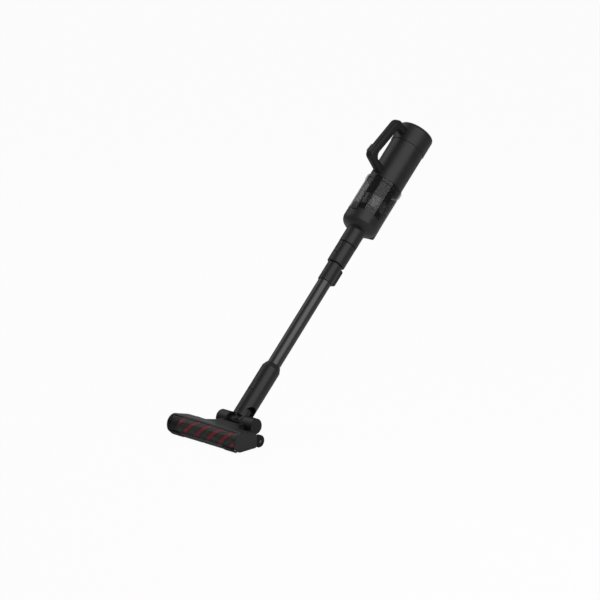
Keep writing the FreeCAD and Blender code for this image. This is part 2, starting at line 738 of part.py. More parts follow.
def handle():
    loop = padded("handle_loop", "YZ_Plane", [
        ("-body_radius + 15", "handle_top"),
        ("-handle_top_reach", "handle_top", "22"),
        ("-handle_corner_reach", "handle_corner_height", "17"),
        ("-body_radius + 15", "handle_foot"),
        ("-body_radius + 15", "grip_gap_low - 2"),
        ("-grip_gap_low_reach", "grip_gap_low", "15"),
        ("-grip_gap_top_reach", "grip_gap_top", "12"),
        ("-body_radius + 15", "grip_gap_top")], "-handle_width / 2", "handle_width")
    half = number("handle_width / 2")
    inside = -number("body_radius - 15")
    on_side = lambda edge: all(abs(abs(v.X) - half) < 1e-3 for v in edge.Vertexes)
    off_root = lambda edge: not all(abs(v.Y - inside) < 1e-3 for v in edge.Vertexes)
    rounded = softened("handle_rounded", loop, "handle_rounding", on_side, off_root)
    trim = rod("handle_trim", "body_radius", "handle_foot - 40", "handle_top - handle_foot + 60")
    cap_trim = rod("handle_cap_trim", "cap_radius", "body_high", "cap_high - body_high")
    pocket = button_prism("button_pocket", "sliding_gap", "-button_travel - 4", "10")
    ring = cut("handle_ring", rounded, trim, cap_trim, pocket)
    split = padded("handle_split_region", "YZ_Plane", [
        ("-body_radius + 15", "handle_top - handle_split"),
        ("-handle_top_reach + handle_split + 1", "handle_top - handle_split", "14"),
        ("-handle_corner_reach + handle_split + 1", "handle_corner_height + handle_split", "15"),
        ("-body_radius + 15", "handle_foot + handle_split")], "-handle_width", "2 * handle_width")
    stick(shared("handle_inner", ring, split), "handle_inner_shell")
    stick(cut("handle_outer", ring, split), "handle_outer_shell")
    stick(button_prism("button_slab", "0", "-3.5", "6"), "handle_button")


def button_prism(label, gap, start, thick):
    """A slab square to the loop's outer face, near its lower corner."""
    body = padded(label, "XY_Plane", [
        ("-button_half - " + gap, "-button_length / 2 - " + gap, "3"),
        ("button_half + " + gap, "-button_length / 2 - " + gap, "3"),
        ("button_half + " + gap, "button_length / 2 + " + gap, "3"),
        ("-button_half - " + gap, "button_length / 2 + " + gap, "3")], start, thick)
    run = number("handle_corner_reach - handle_top_reach")
    rise = number("handle_top - handle_corner_height")
    tilt = atan2(run, rise)
    up = number("handle_corner_height + button_length / 2 + 10")
    out = number("handle_corner_reach") - (up - number("handle_corner_height")) * run / rise
    turn = FreeCAD.Rotation(FreeCAD.Vector(1, 0, 0), 90 - tilt * 180 / pi)
    holder = grouped(label + "_set", body)
    holder.Placement = FreeCAD.Placement(FreeCAD.Vector(0, -out, up), turn)
    return grouped(label + "_placed", holder)


# ---------------------------------------------------------------- floor head
def head_housing():
    shell = padded("head_shell", "YZ_Plane", [
        ("roller_back + 0.5", "roller_height + window_radius"),
        ("roller_back + 0.5", "roller_height + window_radius - shell_wall"),
        ("head_rear - shell_wall", "head_rear_height - shell_wall + 1", "3"),
        ("head_rear - shell_wall", "sole_low + 3"),
        ("head_rear", "sole_low + 3"),
        ("head_rear", "head_rear_height", "5")],
        "-head_half + end_cap_thick", "2 * head_half - 2 * end_cap_thick")
    bridge = padded("head_bridge", "XY_Plane", [
        ("-bridge_half - 22", "head_rear - shell_wall"),
        ("bridge_half + 22", "head_rear - shell_wall"),
        ("bridge_half", "head_rear + 16", "14"),
        ("bridge_half", "pivot_back"),
        ("-bridge_half", "pivot_back"),
        ("-bridge_half", "head_rear + 16", "14")], "12", "head_rear_height - 12")
    drums = [rod("drum_" + side, "drum_radius", start, "drum_outer - drum_inner",
                 y="pivot_back", z="pivot_height", along="X")
             for side, start in (("left", "-drum_outer"), ("right", "drum_inner"))]
    brackets = [block("wheel_bracket_" + side, start, "head_rear - shell_wall", "8", "8",
                      "wheel_back + 5 - head_rear + shell_wall", "16")
                for side, start in (("left", "-wheel_inner + 0.5"), ("right", "wheel_inner - 8.5"))]
    room = rod("hub_room", "hub_sweep", "-drum_inner", "2 * drum_inner",
               y="pivot_back", z="pivot_height", along="X")
    duct = block("head_duct", "-24", "head_rear - 10", "16", "48", "pivot_back - head_rear", "23")
    axle_hole = rod("hub_axle_hole", "axle_radius", "-drum_outer - 5", "2 * drum_outer + 10",
                    y="pivot_back", z="pivot_height", along="X")
    wheel_hole = rod("bracket_axle_hole", "wheel_axle_radius", "-head_half", "2 * head_half",
                     y="wheel_back", z="wheel_radius", along="X")
    solid = joined("head_solid", shell, bridge, *drums, *brackets)
    floor(cut("head_body", solid, room, duct, axle_hole, wheel_hole), "head_housing")


def pivot_pieces():
    axles = [rod("pivot_axle_" + side, "axle_radius", start, "drum_outer - 14",
                 y="pivot_back", z="pivot_height", along="X")
             for side, start in (("left", "-drum_outer"), ("right", "14"))]
    floor(grouped("pivot_axle_pair", *axles), "pivot_axles")
    caps = []
    for side, start in (("left", "-drum_outer - pivot_cap_thick"), ("right", "drum_outer")):
        disc = rod("pivot_cap_disc_" + side, "drum_radius - 0.6", start, "pivot_cap_thick",
                   y="pivot_back", z="pivot_height", along="X")
        outer = "drum_outer + pivot_cap_thick"
        sign = -1 if side == "left" else 1
        rim = lambda edge: all(abs(v.X - sign * number(outer)) < 1e-3 for v in edge.Vertexes)
        caps.append(softened("pivot_cap_round_" + side, disc, "1.2", rim))
    floor(grouped("pivot_cap_pair", *caps), "pivot_caps")


def window_sector(label, outer, inner, low, span, start, length):
    """A curved strip about the roller: angles rise from the front level over the top."""
    solids = []
    for name, radius, sweep in (("skin", outer, span), ("core", inner, "360")):
        item = rod(label + "_" + name, radius, start, length, y="roller_back", z="roller_height",
                   along="X")
        item.setExpression("Angle", formula(sweep))
        solids.append(item)
    # The sector is turned about the roller's axis so that it starts at the low angle,
    # measured from the forward direction.
    across = FreeCAD.Rotation(FreeCAD.Vector(0, 1, 0), 90)
    about = FreeCAD.Rotation(FreeCAD.Vector(1, 0, 0), 270.0 - float(low) - float(span))
    solids[0].Placement = FreeCAD.Placement(solids[0].Placement.Base, about.multiply(across))
    return cut(label + "_strip", *solids)


def window_pieces():
    inside = "2 * head_half - 2 * end_cap_thick"
    left = "-head_half + end_cap_thick"
    floor(window_sector("window", "window_radius", "window_radius - window_wall",
                        "-25", "103", left, inside), "brush_window")
    floor(window_sector("trim", "window_radius + 0.3", "window_radius - window_wall",
                        "78", "11", left, inside), "window_trim")
    lip = window_sector("lip", "window_radius + 0.8", "window_radius - window_wall",
                        "-66", "41", "-lip_half", "2 * lip_half")
    notch = block("lip_notch", "-4", "roller_back - 40", "0", "8", "30", "9")
    floor(cut("lip_notched", lip, notch), "front_lip")
    feet = [window_sector("foot_" + side, "window_radius + 2", "window_radius - window_wall",
                          "-66", "36", start, "foot_length")
            for side, start in (("left", "-lip_half - foot_length"), ("right", "lip_half"))]
    floor(grouped("foot_pair", *feet), "front_feet")


def end_caps():
    shape = [
        ("roller_back - window_radius", "sole_low + 1", "window_radius - 4"),
        ("head_rear - 1", "sole_low + 1", "6"),
        ("head_rear - 1", "head_rear_height + 0.3", "6"),
        ("roller_back", "roller_height + window_radius", "4"),
        ("roller_back - window_radius", "roller_height + window_radius", "window_radius - 1.5")]
    for side, start in (("left", "-head_half"), ("right", "head_half - end_cap_thick")):
        plate = padded("end_plate_" + side, "YZ_Plane", shape, start, "end_cap_thick")
        sign = -1 if side == "left" else 1
        rim = lambda edge: all(abs(v.X - sign * number("head_half")) < 1e-3 for v in edge.Vertexes)
        rounded = softened("end_plate_round_" + side, plate, "1.8", rim)
        if side == "right":
            stub = rod("roller_stub", "4", "head_half - end_cap_thick - 12", "13",
                       y="roller_back", z="roller_height", along="X")
            rounded = joined("end_plate_stubbed", rounded, stub)
        floor(rounded, "end_cap_" + side)


def sole():
    plate = block("sole_slab", "-head_half + end_cap_thick", "roller_back + nap_radius + 3",
                  "sole_low", "2 * head_half - 2 * end_cap_thick",
                  "head_rear - roller_back - nap_radius - 3", "3")
    floor(plate, "sole_plate")
    floor(block("glide_slab", "-glide_half", "-glide_width / 2", "0", "2 * glide_half",
                "glide_width", "sole_low"), "glide_strip")


def brush_roller():
    left = "-head_half + end_cap_thick + 5"
    core = rod("core_rod", "core_radius", left, "2 * head_half - 2 * end_cap_thick - 6",
               y="roller_back", z="roller_height", along="X")
    collar = rod("core_collar_ring", "nap_radius - 1", left, "core_collar", y="roller_back", z="roller_height",
                 along="X")
    right_bore = rod("core_right_bore", "4 + running_fit", "head_half - end_cap_thick - 14", "20",
                     y="roller_back", z="roller_height", along="X")
    left_bore = rod("core_left_bore", "5 + sliding_gap", "-head_half", "end_cap_thick + 14",
                    y="roller_back", z="roller_height", along="X")
    floor(cut("core_body", joined("core_solid", core, collar), right_bore, left_bore), "roller_core")
    nap = rod("nap_sleeve", "nap_radius", left + " + core_collar",
              "2 * head_half - 2 * end_cap_thick - core_collar - 7",
              y="roller_back", z="roller_height", along="X")
    inside = rod("nap_inside", "core_radius", "-head_half", "2 * head_half",
                 y="roller_back", z="roller_height", along="X")
    floor(cut("nap_body", nap, inside), "brush_nap")


def brush_drive():
    pulley_left = "-head_half + end_cap_thick + 0.6"
    disc = rod("drive_pulley_disc", "big_pulley_radius", pulley_left, "3.6", y="roller_back", z="roller_height",
               along="X")
    dog = rod("drive_pulley_dog", "5", pulley_left, "12", y="roller_back", z="roller_height",
              along="X")
    floor(joined("drive_pulley_solid", disc, dog), "drive_pulley")
    floor(rod("brush_motor_can", "brush_motor_radius", "-head_half + 20", "70", y="motor_back",
              z="motor_height", along="X"), "brush_motor")
    small = rod("motor_pulley_disc", "small_pulley_radius", pulley_left, "3.6", y="motor_back", z="motor_height",
                along="X")
    shaft = rod("motor_pulley_shaft", "2", pulley_left, "14", y="motor_back", z="motor_height",
                along="X")
    floor(joined("motor_pulley_solid", small, shaft), "motor_pulley")
    floor(drive_belt(pulley_left), "drive_belt")


def drive_belt(start):
    """A flat belt: the hull of two discs, less the hull of two slightly smaller ones."""
    big = FreeCAD.Vector(0, number("roller_back"), number("roller_height"))
    small = FreeCAD.Vector(0, number("motor_back"), number("motor_height"))
    reach = small - big
    span = reach.Length
    heading = atan2(reach.z, reach.y)

    def hull(first, second):
        open_angle = atan2((span ** 2 - (first - second) ** 2) ** 0.5, first - second)
        edges = []
        for centre, radius, low, high in (
                (big, first, heading + open_angle, heading - open_angle + 2 * pi),
                (small, second, heading - open_angle, heading + open_angle)):
            on = [centre + FreeCAD.Vector(0, cos(a), sin(a)) * radius
                  for a in (low, (low + high) / 2, high)]
            edges.append(Part.Arc(*on).toShape())
        first_arc, second_arc = edges
        lines = [Part.makeLine(second_arc.lastVertex().Point, first_arc.firstVertex().Point),
                 Part.makeLine(first_arc.lastVertex().Point, second_arc.firstVertex().Point)]
        wire = Part.Wire([lines[0], first_arc, lines[1], second_arc])
        return Part.Face(wire).extrude(FreeCAD.Vector(3, 0, 0))

    belt = document.addObject("Part::Feature", "belt_loop")
    first = number("big_pulley_radius + sliding_gap")
    second = number("small_pulley_radius + sliding_gap")
    thick = number("belt_thick")
    belt.Shape = hull(first + thick, second + thick).cut(hull(first, second))
    belt.Placement = FreeCAD.Placement(FreeCAD.Vector(number(start) + 0.3, 0, 0), FreeCAD.Rotation())
    return belt


def rear_wheels():
    axles = []
    for side in ("left", "right"):
        start = "wheel_inner" if side == "right" else "-wheel_inner - wheel_width"
        tyre = rod("wheel_disc_" + side, "wheel_radius", start, "wheel_width",
                   y="wheel_back", z="wheel_radius", along="X")
        rims = lambda edge: len(edge.Vertexes) < 2 and edge.Curve.TypeId == "Part::GeomCircle"
        rounded = softened("wheel_round_" + side, tyre, "1.6", rims)
        bore = rod("wheel_bore_" + side, "wheel_axle_radius + running_fit", start, "wheel_width",
                   y="wheel_back", z="wheel_radius", along="X")
        floor(cut("wheel_body_" + side, rounded, bore), "rear_wheel_" + side)
        pin_start = "wheel_inner - 8.5" if side == "right" else "-wheel_inner - wheel_width - 1"
        pin = rod("wheel_pin_" + side, "wheel_axle_radius", pin_start, "wheel_width + 9.5",
                  y="wheel_back", z="wheel_radius", along="X")
        head_start = "wheel_inner + wheel_width + 0.4"
        if side == "left":
            head_start = "-wheel_inner - wheel_width - 1.6"
        head = rod("wheel_pin_head_" + side, "4", head_start, "1.2",
                   y="wheel_back", z="wheel_radius", along="X")
        axles.append(joined("wheel_axle_" + side, pin, head))
    floor(grouped("wheel_axle_pair", *axles), "wheel_axles")


# ---------------------------------------------------------------- build and write
def build_all():
    lower_sleeve()
    swivel_pins()
    neck_knuckle()
    head_release_button()
    outer_tube()
    telescope_collar()
    telescope_latch()
    inner_tube()
    connector_sleeve()
    wand_release_button()
    cup_lid()
    lid_seal()
    inlet_flap()
    dust_cup()
    cup_spine()
    lid_hinge_pin()
    lid_catch()
    cyclone_parts()
    main_housing()
    top_cap()
    cap_pieces()
    cup_latch()
    charging_socket()
    suction_motor()
    battery()
    handle()
    head_housing()
    pivot_pieces()
    window_pieces()
    end_caps()
    sole()
    brush_roller()
    brush_drive()
    rear_wheels()
    document.recompute()


def check_all():
    for item in document.Objects:
        if "Invalid" in item.State or "Error" in item.State:
            raise RuntimeError("%s is %s" % (item.Label, item.State))
    for item in NODES:
        if item.Shape.isNull() or not item.Shape.isValid() or not item.Shape.Solids:
            raise RuntimeError("%s has no valid solid" % item.Label)


def write_all():
    os.makedirs("parts", exist_ok=True)
    for item in NODES:
        item.Shape.exportStep(os.path.join("parts", item.Label + ".step"))
    print("wrote %d parts" % len(NODES))


build_all()
check_all()
write_all()
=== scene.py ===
# %% [markdown]
# # A cordless stick vacuum, finished in Blender
#
# The machine is a long stick with a motor and a dust cup at the top and a powered
# floor head at the bottom.  Its pieces come in at their true size and place as a fixed
# frame.  This notebook gives every surface its finish, makes the few pieces whose
# shape is too fine for the frame (the bristle roller, the perforated shroud, the grip
# ribs), and sets up the light, the floor and the camera.

# %% Load the frame
import bpy
import bmesh
import json
from math import atan2, ceil, cos, pi, radians, sin
from mathutils import Matrix, Vector


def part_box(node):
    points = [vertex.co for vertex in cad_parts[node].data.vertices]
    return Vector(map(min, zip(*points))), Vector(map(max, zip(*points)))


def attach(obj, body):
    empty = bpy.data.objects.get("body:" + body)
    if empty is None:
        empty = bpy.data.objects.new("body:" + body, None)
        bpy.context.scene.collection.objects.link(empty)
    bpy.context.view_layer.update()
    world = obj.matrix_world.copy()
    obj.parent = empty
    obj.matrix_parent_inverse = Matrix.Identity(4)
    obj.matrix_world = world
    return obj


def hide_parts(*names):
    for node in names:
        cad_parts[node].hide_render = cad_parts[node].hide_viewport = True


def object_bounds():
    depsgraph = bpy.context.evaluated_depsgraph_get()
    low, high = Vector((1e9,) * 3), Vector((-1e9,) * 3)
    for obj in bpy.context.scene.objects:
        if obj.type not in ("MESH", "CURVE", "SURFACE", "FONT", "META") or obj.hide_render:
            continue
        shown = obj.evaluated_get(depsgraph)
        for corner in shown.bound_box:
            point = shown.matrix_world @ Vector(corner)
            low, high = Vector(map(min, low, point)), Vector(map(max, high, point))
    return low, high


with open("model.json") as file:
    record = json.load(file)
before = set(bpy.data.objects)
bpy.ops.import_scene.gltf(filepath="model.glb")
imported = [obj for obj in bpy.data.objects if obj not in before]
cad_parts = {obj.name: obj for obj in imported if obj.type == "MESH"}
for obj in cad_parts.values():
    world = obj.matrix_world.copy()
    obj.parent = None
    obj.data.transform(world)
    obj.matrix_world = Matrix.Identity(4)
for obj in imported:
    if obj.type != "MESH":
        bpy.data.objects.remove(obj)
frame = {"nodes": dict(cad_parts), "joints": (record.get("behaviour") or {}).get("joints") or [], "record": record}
frame_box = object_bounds()
nodes = frame["nodes"]
joints = {joint["name"]: joint for joint in frame["joints"]}
for plain in list(bpy.data.materials):
    bpy.data.materials.remove(plain)

# %% [markdown]
# ## The stick's own directions
#
# The stick leans back, so "along the stick" isn't the world's up.  The telescope's
# joint tells which way the wand runs and the pitch joint tells where it starts.  From
# these two facts comes one matrix that turns stick measurements (right, towards the
# user, along) into places in the world.  Pieces are modelled upright, where they are
# easy to think about, and the matrix lays them in place.

# %% Stick matrix
pivot = Vector(joints["pitch"]["pos_m"])
along = -Vector(joints["telescope"]["axis"]).normalized()
right = Vector((1, 0, 0))
rearward = along.cross(right)
stick = Matrix.Translation(pivot) @ Matrix((right, rearward, along)).transposed().to_4x4()
roller_axis = Vector(joints["roller_spin"]["pos_m"])
mm = 0.001


def along_stick(point):
    """How far along the stick a world point lies, in metres from the pivot."""
    return (Vector(point) - pivot).dot(along)


def span_along(node):
    """Where a node starts and ends along the stick."""
    places = [along_stick(v.co) for v in nodes[node].data.vertices]
    return min(places), max(places)


print("stick leans", round(90 - along.angle(Vector((0, 1, 0))) * 180 / pi, 1), "degrees from level")

# %% [markdown]
# ## Materials
#
# Every finish is built from shader nodes.  Patterns read Object coordinates, which are
# metres in the frame, so a noise scale of 900 means grain of about a millimetre.  A
# short helper makes the Principled shader and hands back the pieces that the finishes
# below connect to.

# %% Node helpers
def new_material(name, colour, roughness, metallic=0.0, specular=0.5):
    material = bpy.data.materials.new(name)
    material.use_nodes = True
    tree = material.node_tree
    shader = tree.nodes["Principled BSDF"]
    shader.inputs["Base Color"].default_value = (*colour, 1)
    shader.inputs["Roughness"].default_value = roughness
    shader.inputs["Metallic"].default_value = metallic
    shader.inputs["Specular IOR Level"].default_value = specular
    return material, tree, shader


def add(tree, kind, **settings):
    """Add a node and set its properties; input sockets are set by name."""
    node = tree.nodes.new(kind)
    for key, value in settings.items():
        name = key.replace("_", " ")
        if name in node.inputs:
            node.inputs[name].default_value = value
        else:
            setattr(node, key, value)
    return node


def object_coordinates(tree, scale=(1, 1, 1), turn=(0, 0, 0)):
    coordinates = add(tree, "ShaderNodeTexCoord")
    mapping = add(tree, "ShaderNodeMapping")
    mapping.inputs["Scale"].default_value = scale
    mapping.inputs["Rotation"].default_value = turn
    tree.links.new(coordinates.outputs["Object"], mapping.inputs["Vector"])
    return mapping.outputs["Vector"]


def noise(tree, vector, scale, detail=3.0, roughness=0.5):
    texture = add(tree, "ShaderNodeTexNoise", Scale=scale, Detail=detail, Roughness=roughness)
    tree.links.new(vector, texture.inputs["Vector"])
    return texture.outputs["Fac"]


def ramp(tree, value, stops):
    """A colour ramp from (position, colour) pairs; a number stands for a grey."""
    node = add(tree, "ShaderNodeValToRGB")
    elements = node.color_ramp.elements
    while len(elements) < len(stops):
        elements.new(0.5)
    for element, (position, colour) in zip(elements, stops):
        rgb = (colour,) * 3 if isinstance(colour, float) else colour
        element.position = position
        element.color = (*rgb, 1)
    tree.links.new(value, node.inputs["Fac"])
    return node.outputs["Color"]


def bump(tree, shader, height, distance, strength=1.0):
    node = add(tree, "ShaderNodeBump", Strength=strength, Distance=distance)
    tree.links.new(height, node.inputs["Height"])
    tree.links.new(node.outputs["Normal"], shader.inputs["Normal"])


# %% [markdown]
# ### Moulded plastic
#
# The housings are near-black ABS with a fine spark-eroded texture.  Two scales of noise
# do it: a fine one raises the grain, and a slow one shifts the colour and the polish
# a little, as handling and moulding do.  The reflection is kept low because a textured
# black face scatters most of what it mirrors.

# %% Moulded plastic finish
def moulded_plastic(name, colour, roughness, grain=0.00004, specular=0.3):
    material, tree, shader = new_material(name, colour, roughness, specular=specular)
    place = object_coordinates(tree)
    slow = noise(tree, place, 18.0, detail=4.0)
    low = tuple(channel * 0.86 for channel in colour)
    high = tuple(channel * 1.14 for channel in colour)
    tree.links.new(ramp(tree, slow, [(0.3, low), (0.7, high)]), shader.inputs["Base Color"])
    polish = ramp(tree, slow, [(0.25, roughness - 0.04), (0.75, roughness + 0.05)])
    tree.links.new(polish, shader.inputs["Roughness"])
    bump(tree, shader, noise(tree, place, 1500.0, detail=2.0), grain)
    return material


body_black = moulded_plastic("body_black", (0.0165, 0.0165, 0.0175), 0.38, specular=0.42)
handle_black = moulded_plastic("handle_black", (0.0125, 0.0125, 0.0135), 0.44, grain=0.00006)
button_grey = moulded_plastic("button_grey", (0.030, 0.030, 0.032), 0.40)
# The inner parts are black plastic, and their colour is set darker than the housing's black as painted shade for
# the dim inside of the cup.
inner_black = moulded_plastic("inner_black", (0.007, 0.007, 0.008), 0.42)
lip_grey = moulded_plastic("lip_grey", (0.060, 0.060, 0.063), 0.38)
print("plastics:", body_black.name, handle_black.name, button_grey.name, inner_black.name)

# %% [markdown]
# ### Anodised tube
#
# The wand is drawn aluminium, bead-blasted and dyed dark grey.  Drawing leaves faint
# lines along the tube.  Stretching the noise along the stick gives them: the mapping
# first turns the lean away and then squeezes the pattern on the long axis.

# %% Anodised tube finish
def anodised_metal(name, colour, roughness):
    material, tree, shader = new_material(name, colour, roughness, metallic=1.0)
    lean = -atan2(along.y, along.z)
    upright = object_coordinates(tree, turn=(-lean, 0, 0))
    squeeze = add(tree, "ShaderNodeMapping")
    squeeze.inputs["Scale"].default_value = (1, 1, 0.03)
    tree.links.new(upright, squeeze.inputs["Vector"])
    lines = noise(tree, squeeze.outputs["Vector"], 900.0, detail=3.0)
    tone = [(0.3, tuple(c * 0.88 for c in colour)), (0.7, tuple(c * 1.12 for c in colour))]
    tree.links.new(ramp(tree, lines, tone), shader.inputs["Base Color"])
    polish = ramp(tree, lines, [(0.3, roughness - 0.03), (0.7, roughness + 0.05)])
    tree.links.new(polish, shader.inputs["Roughness"])
    bump(tree, shader, lines, 0.00002)
    return material


tube_metal = anodised_metal("tube_metal", (0.085, 0.085, 0.088), 0.34)
motor_metal = anodised_metal("motor_metal", (0.45, 0.45, 0.47), 0.36)
steel_pin = anodised_metal("steel_pin", (0.16, 0.16, 0.165), 0.34)
print("metals:", tube_metal.name, motor_metal.name, steel_pin.name)

# %% [markdown]
# ### Smoked clear plastic
#
# The dust cup and the roller window are smoke-tinted polycarbonate.  Light passes
# through, so the shader transmits; the tint sits in the colour.  A light haze of fine
# noise on the polish keeps the wall from looking like optical glass.

# %% Smoked plastic finish
def smoked_plastic(name, tint, alpha, roughness=0.06):
    material, tree, shader = new_material(name, tint, roughness, specular=0.5)
    shader.inputs["Alpha"].default_value = alpha
    shader.inputs["Coat Weight"].default_value = 0.25
    shader.inputs["Coat Roughness"].default_value = 0.05
    haze = noise(tree, object_coordinates(tree), 60.0, detail=4.0)
    tree.links.new(ramp(tree, haze, [(0.3, roughness), (0.8, roughness + 0.06)]),
                   shader.inputs["Roughness"])
    return material


smoke_clear = smoked_plastic("smoke_clear", (0.006, 0.006, 0.007), 0.50)
window_clear = smoked_plastic("window_clear", (0.030, 0.030, 0.031), 0.16)
print("clear:", smoke_clear.name, window_clear.name)

# %% [markdown]
# ### Rubber, cloth and small finishes
#
# Rubber is rougher than plastic and shows a coarser grain.  The filter is pleated
# cloth, so a wave runs round it; the same wave darkens the colour in the folds as a
# painted shade.  The battery's film, the board's lacquer and the display are hardly
# seen, but each still gets its own finish for the day the machine is taken apart.

# %% Rubber, cloth and the rest
def rubber(name, colour):
    material, tree, shader = new_material(name, colour, 0.72, specular=0.25)
    place = object_coordinates(tree)
    bump(tree, shader, noise(tree, place, 700.0, detail=4.0), 0.00015)
    return material


def pleated_cloth(name, colour):
    material, tree, shader = new_material(name, colour, 0.9, specular=0.1)
    shader.inputs["Sheen Weight"].default_value = 0.3
    place = object_coordinates(tree)
    pleats = add(tree, "ShaderNodeTexWave", Scale=90.0, Distortion=0.4)
    tree.links.new(place, pleats.inputs["Vector"])
    # The pleat wave also darkens the colour in the low folds, down to 0.6 of the cloth's colour: painted shade in
    # the pleat valleys.
    tree.links.new(ramp(tree, pleats.outputs["Fac"], [(0.2, tuple(c * 0.6 for c in colour)),
                                                      (0.8, colour)]),
                   shader.inputs["Base Color"])
    bump(tree, shader, pleats.outputs["Fac"], 0.0006)
    return material


def printed_film(name, colour, roughness):
    material, tree, shader = new_material(name, colour, roughness)
    place = object_coordinates(tree)
    specks = noise(tree, place, 220.0, detail=5.0)
    tree.links.new(ramp(tree, specks, [(0.35, tuple(c * 0.7 for c in colour)), (0.65, colour)]),
                   shader.inputs["Base Color"])
    bump(tree, shader, specks, 0.00005)
    return material


rubber_black = rubber("rubber_black", (0.010, 0.010, 0.010))
filter_white = pleated_cloth("filter_white", (0.62, 0.62, 0.58))
glide_felt = pleated_cloth("glide_felt", (0.05, 0.05, 0.05))
board_green = printed_film("board_green", (0.02, 0.10, 0.05), 0.35)
cell_wrap = printed_film("cell_wrap", (0.05, 0.09, 0.22), 0.3)
display_glass = printed_film("display_glass", (0.004, 0.004, 0.005), 0.08)

# %% [markdown]
# ### Paint the frame's pieces
#
# The record already says which slot each piece belongs to, so painting is one loop:
# look up the slot, put that finish on the piece's mesh.  The roller window shares the
# cup's slot but is clearer, so it is named apart.

# %% Paint every piece
finishes = {m.name: m for m in (
    body_black, handle_black, button_grey, inner_black, lip_grey, tube_metal, motor_metal,
    steel_pin, smoke_clear, rubber_black, filter_white, glide_felt, board_green, cell_wrap,
    display_glass)}
slot_finish = {**finishes, "mesh_steel": steel_pin, "nap_fabric": rubber_black,
               "roller_core": rubber_black}
slot_of = {part["node"]: part["material_slot"] for part in frame["record"]["subparts"]}
painted_apart = {"brush_window": window_clear}
for name, piece in nodes.items():
    finish = painted_apart.get(name) or slot_finish[slot_of[name]]
    piece.data.materials.clear()
    piece.data.materials.append(finish)
print("painted", len(nodes), "pieces")

# %% [markdown]
# ## Making pieces
#
# Each new piece starts as a bmesh.  This helper turns a finished bmesh into an object
# at the origin, gives it its finish, smooths it and lets it ride on its body.

# %% Piece helper
def make_piece(name, mesh, material, body, place=None, smooth=40):
    """Turn a bmesh into a finished object that rides on a body."""
    if place is not None:
        bmesh.ops.transform(mesh, matrix=place, verts=mesh.verts)
    bmesh.ops.recalc_face_normals(mesh, faces=mesh.faces)
    data = bpy.data.meshes.new(name)
    mesh.to_mesh(data)
    mesh.free()
    data.materials.append(material)
    piece = bpy.data.objects.new(name, data)
    bpy.context.scene.collection.objects.link(piece)
    data.shade_smooth()
    data.set_sharp_from_angle(angle=radians(smooth))
    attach(piece, body)
    print(name, "has", len(data.polygons), "faces")
    return piece


# %% [markdown]
# ## The perforated shroud
#
# Inside the cup, dust is kept from the filter by a tube of perforated steel sheet.
# Thousands of real holes would be heavy, so the sheet is a plain spun tube with its own
# UV map, and the finish cuts the holes: two grids of dots, one shifted by half a step,
# drive the alpha.

# %% Perforated sheet finish
def perforated_steel(name, around, up):
    """Round holes on a UV map: this many around the tube and up its height."""
    material, tree, shader = new_material(name, (0.85, 0.85, 0.86), 0.30, metallic=1.0)
    coordinates = add(tree, "ShaderNodeTexCoord")
    nearest = []
    for shift in (0.0, 0.5):
        mapping = add(tree, "ShaderNodeMapping")
        mapping.inputs["Scale"].default_value = (around, up, 1)
        mapping.inputs["Location"].default_value = (shift, shift, 0)
        tree.links.new(coordinates.outputs["UV"], mapping.inputs["Vector"])
        cell = add(tree, "ShaderNodeVectorMath", operation="FRACTION")
        tree.links.new(mapping.outputs["Vector"], cell.inputs[0])
        away = add(tree, "ShaderNodeVectorMath", operation="DISTANCE")
        away.inputs[1].default_value = (0.5, 0.5, 0)
        tree.links.new(cell.outputs["Vector"], away.inputs[0])
        nearest.append(away.outputs["Value"])
    least = add(tree, "ShaderNodeMath", operation="MINIMUM")
    tree.links.new(nearest[0], least.inputs[0])
    tree.links.new(nearest[1], least.inputs[1])
    solid = ramp(tree, least.outputs["Value"], [(0.20, 0.0), (0.24, 1.0)])
    tree.links.new(solid, shader.inputs["Alpha"])
    shine = noise(tree, object_coordinates(tree), 200.0)
    tree.links.new(ramp(tree, shine, [(0.3, 0.22), (0.7, 0.36)]), shader.inputs["Roughness"])
    return material


mesh_steel = perforated_steel("mesh_steel", 90, 14)


# %% Spin the shroud
def uv_by_angle(mesh, low, high, seam=None):
    """Give a turned piece a UV map: u goes round its axis and v along it."""
    layer = mesh.loops.layers.uv.new("UVMap")
    for face in mesh.faces:
        middle = face.calc_center_median()
        base = atan2(middle.y, middle.x)
        for loop in face.loops:
            point = loop.vert.co
            angle = atan2(point.y, point.x)
            angle += 2 * pi * round((base - angle) / (2 * pi))
            loop[layer].uv = (angle / (2 * pi), (point.z - low) / (high - low))


def spun(profile, steps=96, closed=True):
    """Turn a profile of (radius, height) points about the height axis."""
    mesh = bmesh.new()
    points = [mesh.verts.new((radius, 0, height)) for radius, height in profile]
    pairs = list(zip(points, points[1:]))
    if closed:
        pairs.append((points[-1], points[0]))
    edges = [mesh.edges.new(pair) for pair in pairs]
    bmesh.ops.spin(mesh, geom=points + edges, cent=(0, 0, 0), axis=(0, 0, 1),
                   angle=2 * pi, steps=steps, use_merge=True, use_duplicate=False)
    bmesh.ops.remove_doubles(mesh, verts=mesh.verts, dist=1e-7)
    return mesh


mesh_low, mesh_high = span_along("mesh_shroud")
shroud_radius = (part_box("mesh_shroud")[1].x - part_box("mesh_shroud")[0].x) / 2
sheet_tube = spun([(shroud_radius, mesh_low), (shroud_radius, mesh_high),
                   (shroud_radius - 0.6 * mm, mesh_high), (shroud_radius - 0.6 * mm, mesh_low)])
uv_by_angle(sheet_tube, mesh_low, mesh_high)
perforated = make_piece("perforated_shroud", sheet_tube, mesh_steel, "cup", stick)
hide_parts("mesh_shroud")

# %% [markdown]
# ## The brush roller
#
# The roller is a drum in short grey-green nap, with rows of stiff red bristles
# wound round it like the stripes of a barber's pole.  The nap is a turned drum whose
# UV map lets a helix be drawn as a slanted stripe, and the bristles are real tufts:
# small tapered cones set row beside row along the same helix.

# %% Nap finish
stripe_starts = 3
nap_low, nap_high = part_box("brush_nap")[0].x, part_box("brush_nap")[1].x
nap_length = nap_high - nap_low
stripe_turns = nap_length / 0.135


